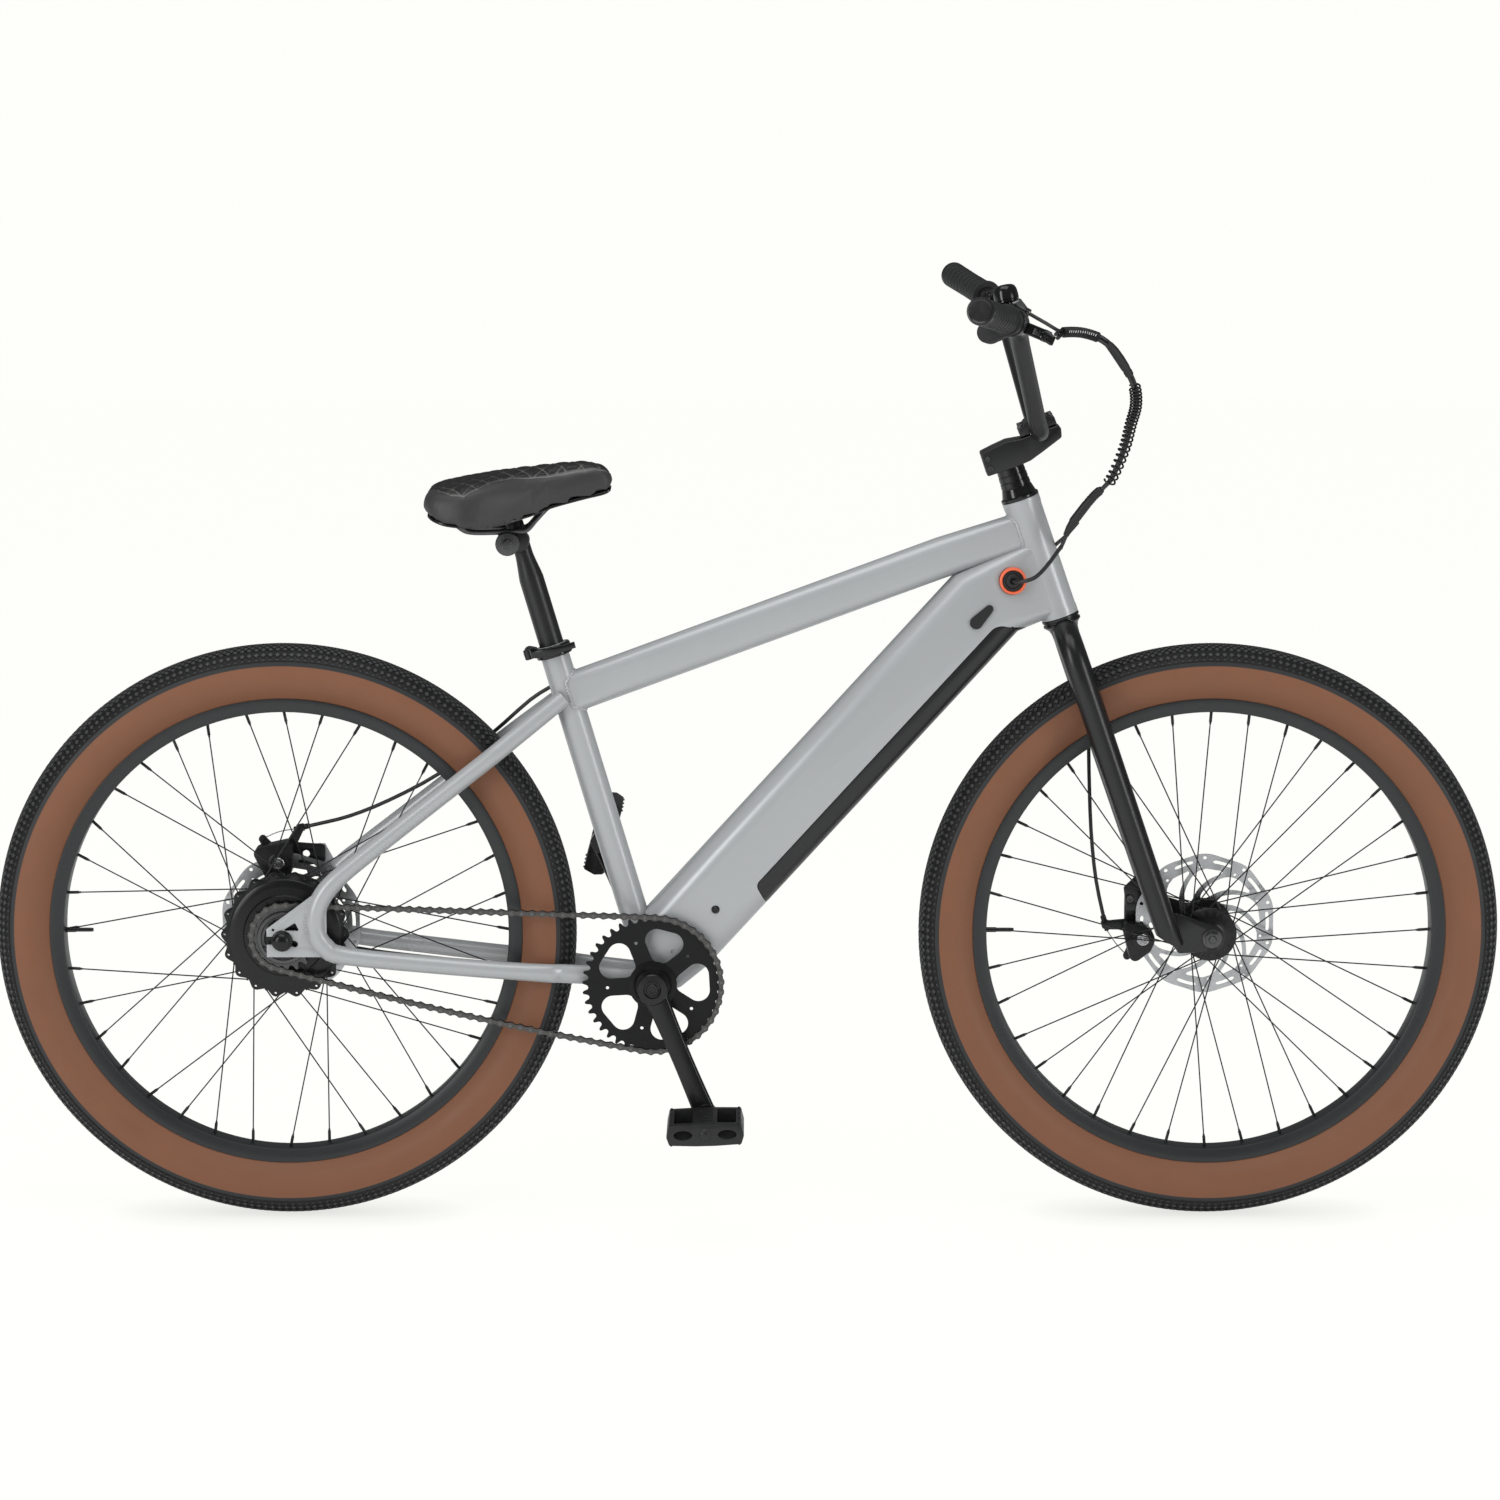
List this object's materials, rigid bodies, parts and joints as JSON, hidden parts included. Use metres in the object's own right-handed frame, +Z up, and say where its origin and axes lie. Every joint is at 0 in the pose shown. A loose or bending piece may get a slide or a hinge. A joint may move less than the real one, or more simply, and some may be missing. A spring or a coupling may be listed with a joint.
{
  "type": "electric bmx bicycle",
  "caption": "Electric BMX style bicycle with large brown-wall tyres, a hub motor in the rear wheel, disc brakes, a single-speed chain drive and a battery in its boxy down tube.",
  "frame": {"origin": "on the ground, midway between the two axles and in the middle of the box", "axes": "+X forward, +Y to the rider's left, +Z up; the chain is on the -Y side"},
  "size_m": [1.878, 0.7318, 1.1792],
  "materials": {
    "frame_paint": "satin light blue-grey paint",
    "black_paint": "satin black coat",
    "gloss_black_paint": "gloss black coat",
    "tyre_rubber": "matt black tread over brown sidewalls",
    "black_rubber": "matt black rubber",
    "grip_rubber": "matt black moulded rubber",
    "bare_steel": "bright brushed steel",
    "dark_steel": "darkened steel",
    "black_plastic": "fine-grained matt black plastic",
    "gloss_plastic": "gloss black plastic",
    "orange_plastic": "orange plastic",
    "saddle_vinyl": "quilted black vinyl"
  },
  "bodies": {
    "frame": {"main_frame": "frame_paint", "stay_right": "frame_paint", "stay_left": "frame_paint", "bottom_bracket": "bare_steel", "seat_clamp": "gloss_black_paint", "port_ring": "orange_plastic", "port_grommet": "black_rubber", "rear_axle": "dark_steel", "rear_caliper": "black_paint", "rear_brake_cable": "black_rubber", "motor_cable": "black_rubber", "chain": "dark_steel"},
    "steering": {"fork": "gloss_black_paint", "headset_stack": "gloss_black_paint", "stem": "black_paint", "stem_cap": "black_paint", "handlebar": "black_paint", "grip_right": "grip_rubber", "grip_left": "grip_rubber", "lever_perch_right": "black_paint", "lever_perch_left": "black_paint", "throttle_body": "black_plastic", "bell": "gloss_black_paint", "front_axle": "bare_steel", "front_caliper": "black_paint", "front_brake_cable": "black_rubber", "left_brake_cable": "black_rubber", "main_cable": "black_rubber", "spiral_sleeve": "black_rubber", "spiral_wrap": "gloss_plastic", "port_cable": "black_rubber"},
    "front_wheel": {"front_tyre": "tyre_rubber", "front_rim": "black_paint", "front_hub": "gloss_black_paint", "front_rotor": "bare_steel"},
    "rear_wheel": {"rear_tyre": "tyre_rubber", "rear_rim": "black_paint", "motor_shell": "black_paint", "rear_rotor": "bare_steel"},
    "crankset": {"chainring": "black_paint", "crank_right": "gloss_black_paint", "crank_left": "gloss_black_paint"},
    "right_pedal": {"pedal_right": "black_plastic"},
    "left_pedal": {"pedal_left": "black_plastic"},
    "sprocket": {"freewheel": "dark_steel"},
    "seat_mast": {"seatpost": "black_paint"},
    "saddle": {"saddle_cover": "saddle_vinyl", "saddle_base": "gloss_plastic", "saddle_rails": "dark_steel", "rail_clamp": "dark_steel"},
    "seat_lever": {"seat_qr_lever": "gloss_black_paint"},
    "battery": {"battery_pack": "black_paint"},
    "port_cover": {"charge_cover": "black_rubber"},
    "right_lever": {"brake_lever_right": "gloss_black_paint"},
    "left_lever": {"brake_lever_left": "gloss_black_paint"},
    "rear_brake_arm": {"rear_caliper_arm": "black_paint"},
    "front_brake_arm": {"front_caliper_arm": "black_paint"},
    "throttle": {"throttle_paddle": "black_plastic"},
    "bell_hammer": {"bell_striker": "bare_steel"}
  },
  "joints": [
    {"name": "steering_turn", "type": "hinge", "parent": "frame", "child": "steering", "pos_m": [0.386, 0, 0.758], "axis": [-0.326, 0, 0.9454], "range_deg": [-60, 60], "deforming": ["port_cable"]},
    {"name": "front_wheel_spin", "type": "hinge", "parent": "steering", "child": "front_wheel", "pos_m": [0.575, 0, 0.362], "axis": [0, 1, 0], "continuous": true},
    {"name": "rear_wheel_spin", "type": "hinge", "parent": "frame", "child": "rear_wheel", "pos_m": [-0.575, 0, 0.362], "axis": [0, 1, 0], "continuous": true},
    {"name": "crank_spin", "type": "hinge", "parent": "frame", "child": "crankset", "pos_m": [-0.1176, 0, 0.302], "axis": [0, 1, 0], "continuous": true, "deforming": ["chain"]},
    {"name": "sprocket_spin", "type": "hinge", "parent": "frame", "child": "sprocket", "pos_m": [-0.575, 0, 0.362], "axis": [0, 1, 0], "continuous": true},
    {"name": "right_pedal_spin", "type": "hinge", "parent": "crankset", "child": "right_pedal", "pos_m": [-0.05173, 0, 0.14528], "axis": [0, 1, 0], "continuous": true},
    {"name": "left_pedal_spin", "type": "hinge", "parent": "crankset", "child": "left_pedal", "pos_m": [-0.18347, 0, 0.45872], "axis": [0, 1, 0], "continuous": true},
    {"name": "seat_height", "type": "slide", "parent": "frame", "child": "seat_mast", "axis": [-0.285, 0, 0.9585], "range_m": [-0.08, 0.08]},
    {"name": "saddle_tilt", "type": "hinge", "parent": "seat_mast", "child": "saddle", "pos_m": [-0.295, 0, 0.85], "axis": [0, 1, 0], "range_deg": [-8, 8]},
    {"name": "seat_lever_open", "type": "hinge", "parent": "frame", "child": "seat_lever", "pos_m": [-0.27, -0.0192, 0.712], "axis": [0.285, 0, -0.9585], "range_deg": [0, 150]},
    {"name": "battery_release", "type": "hinge", "parent": "frame", "child": "battery", "pos_m": [0.34883, 0, 0.74546], "axis": [0, -1, 0], "range_deg": [0, 15]},
    {"name": "port_cover_turn", "type": "hinge", "parent": "frame", "child": "port_cover", "pos_m": [0.297, -0.0392, 0.771], "axis": [0, 1, 0], "range_deg": [0, 90]},
    {"name": "right_lever_squeeze", "type": "hinge", "parent": "steering", "child": "right_lever", "pos_m": [0.35126, -0.20266, 1.11765], "axis": [-0.3806, -0.0273, -0.9243], "range_deg": [0, 20], "stiffness_Nm_per_rad": 1.5, "springref_deg": -8.59},
    {"name": "left_lever_squeeze", "type": "hinge", "parent": "steering", "child": "left_lever", "pos_m": [0.35126, 0.20266, 1.11765], "axis": [0.3806, -0.0273, 0.9243], "range_deg": [0, 20], "stiffness_Nm_per_rad": 1.5, "springref_deg": -8.59},
    {"name": "rear_brake_pull", "type": "hinge", "parent": "frame", "child": "rear_brake_arm", "pos_m": [-0.591, 0.0482, 0.4355], "axis": [0, 1, 0], "range_deg": [0, 20]},
    {"name": "front_brake_pull", "type": "hinge", "parent": "steering", "child": "front_brake_arm", "pos_m": [0.497, 0.0412, 0.343], "axis": [0, 1, 0], "range_deg": [0, 20]},
    {"name": "throttle_press", "type": "hinge", "parent": "steering", "child": "throttle", "pos_m": [0.30715, -0.2208, 1.13635], "axis": [-0.2744, -0.9512, 0.1411], "range_deg": [0, 30], "stiffness_Nm_per_rad": 0.5, "springref_deg": -11.46},
    {"name": "bell_flick", "type": "hinge", "parent": "steering", "child": "bell_hammer", "pos_m": [0.28912, -0.20092, 1.15379], "axis": [-0.2104, 0.2026, 0.9564], "range_deg": [0, 15], "stiffness_Nm_per_rad": 0.05, "springref_deg": -5.73}
  ],
  "couplings": [
    {"joint": "sprocket_spin", "follows": "crank_spin", "ratio": 2.1},
    {"joint": "rear_brake_pull", "follows": "right_lever_squeeze", "ratio": 1},
    {"joint": "front_brake_pull", "follows": "left_lever_squeeze", "ratio": 1}
  ]
}
